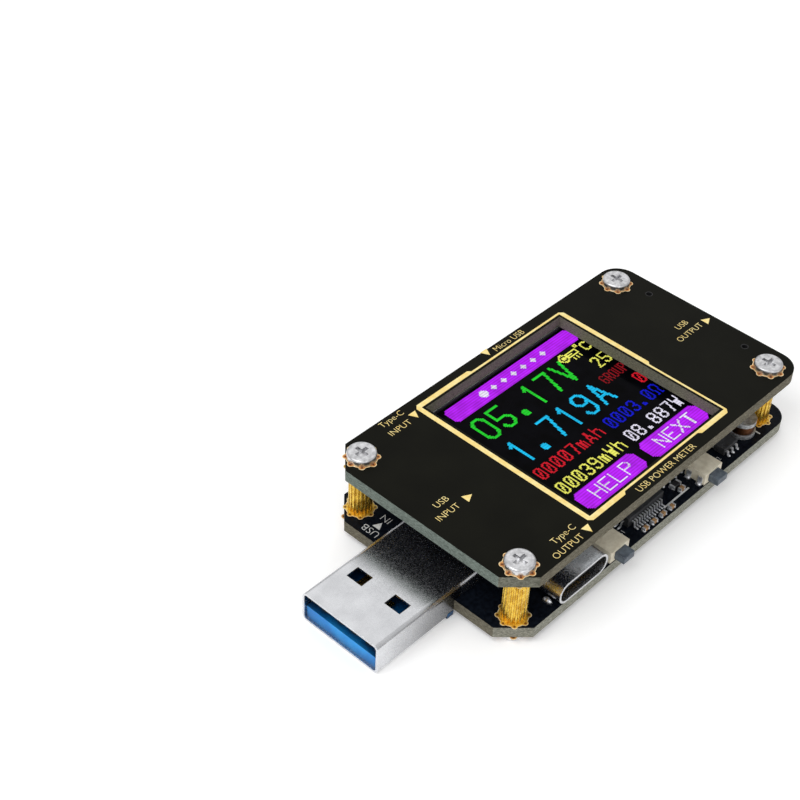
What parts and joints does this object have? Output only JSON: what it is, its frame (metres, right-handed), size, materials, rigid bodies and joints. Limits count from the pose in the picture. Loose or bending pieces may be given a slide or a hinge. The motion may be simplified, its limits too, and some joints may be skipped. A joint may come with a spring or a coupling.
{
  "type": "usb power meter",
  "caption": "Stacked-board USB power meter: plug at one end, socket at the other, small ports and press keys along both sides, and a colour display in the front panel.",
  "frame": {"origin": "centre of the footprint, on the plane that the plug's lower face and the rear screw heads rest on", "axes": "+X from the plug towards the socket, +Z out of the display, +Y completes the frame"},
  "size_m": [0.0694, 0.0332, 0.0118],
  "materials": {
    "solder_mask": "satin",
    "knurled_brass": "machined",
    "screw_steel": "bright zinc",
    "shell_steel": "stamped",
    "blue_moulding": "satin",
    "black_moulding": "matte",
    "gold_contact": "polished",
    "key_moulding": "matte",
    "key_cap": "matte",
    "spring_steel": "rolled",
    "tinned_copper": "tinned",
    "lcd_moulding": "matte",
    "light_guide": "clear",
    "display_glass": "polished",
    "flex_film": "satin",
    "chip_epoxy": "matte",
    "ferrite": "matte",
    "copper_wire": "enamelled",
    "crystal_can": "satin",
    "capacitor_body": "matte",
    "resistor_body": "matte"
  },
  "bodies": {
    "meter": {"front_panel": "solder_mask", "main_board": "solder_mask", "standoffs": "knurled_brass", "front_screws": "screw_steel", "rear_screws": "screw_steel", "plug_shell": "shell_steel", "plug_insulator": "blue_moulding", "plug_contacts": "gold_contact", "socket_shell": "shell_steel", "socket_housing": "blue_moulding", "socket_contacts": "gold_contact", "type_c_out_shell": "shell_steel", "type_c_out_tongue": "black_moulding", "type_c_out_contacts": "gold_contact", "type_c_in_shell": "shell_steel", "type_c_in_tongue": "black_moulding", "type_c_in_contacts": "gold_contact", "micro_usb_shell": "shell_steel", "micro_usb_tongue": "black_moulding", "micro_usb_contacts": "gold_contact", "next_key_housing": "key_moulding", "help_key_housing": "key_moulding", "rotate_key_housing": "key_moulding", "group_key_housing": "key_moulding", "key_domes": "spring_steel", "key_terminals": "tinned_copper", "lcd_frame": "lcd_moulding", "lcd_backlight": "light_guide", "lcd_glass": "display_glass", "lcd_flex": "flex_film", "controller_chip": "chip_epoxy", "controller_leads": "tinned_copper", "sense_chip": "chip_epoxy", "sense_leads": "tinned_copper", "switch_chip": "chip_epoxy", "switch_leads": "tinned_copper", "regulator_chip": "chip_epoxy", "regulator_leads": "tinned_copper", "power_inductor": "ferrite", "inductor_winding": "copper_wire", "crystal": "crystal_can", "chip_terminals": "tinned_copper", "ceramic_capacitors": "capacitor_body", "chip_resistors": "resistor_body", "shunt_resistor": "resistor_body"},
    "next_key": {"next_key_cap": "key_cap"},
    "help_key": {"help_key_cap": "key_cap"},
    "rotate_key": {"rotate_key_cap": "key_cap"},
    "group_key": {"group_key_cap": "key_cap"}
  },
  "joints": [
    {"name": "next_key_press", "type": "slide", "parent": "meter", "child": "next_key", "axis": [0, 1, 0], "range_m": [0, 0.00025]},
    {"name": "help_key_press", "type": "slide", "parent": "meter", "child": "help_key", "axis": [0, 1, 0], "range_m": [0, 0.00025]},
    {"name": "rotate_key_press", "type": "slide", "parent": "meter", "child": "rotate_key", "axis": [0, -1, 0], "range_m": [0, 0.00025]},
    {"name": "group_key_press", "type": "slide", "parent": "meter", "child": "group_key", "axis": [0, -1, 0], "range_m": [0, 0.00025]}
  ]
}
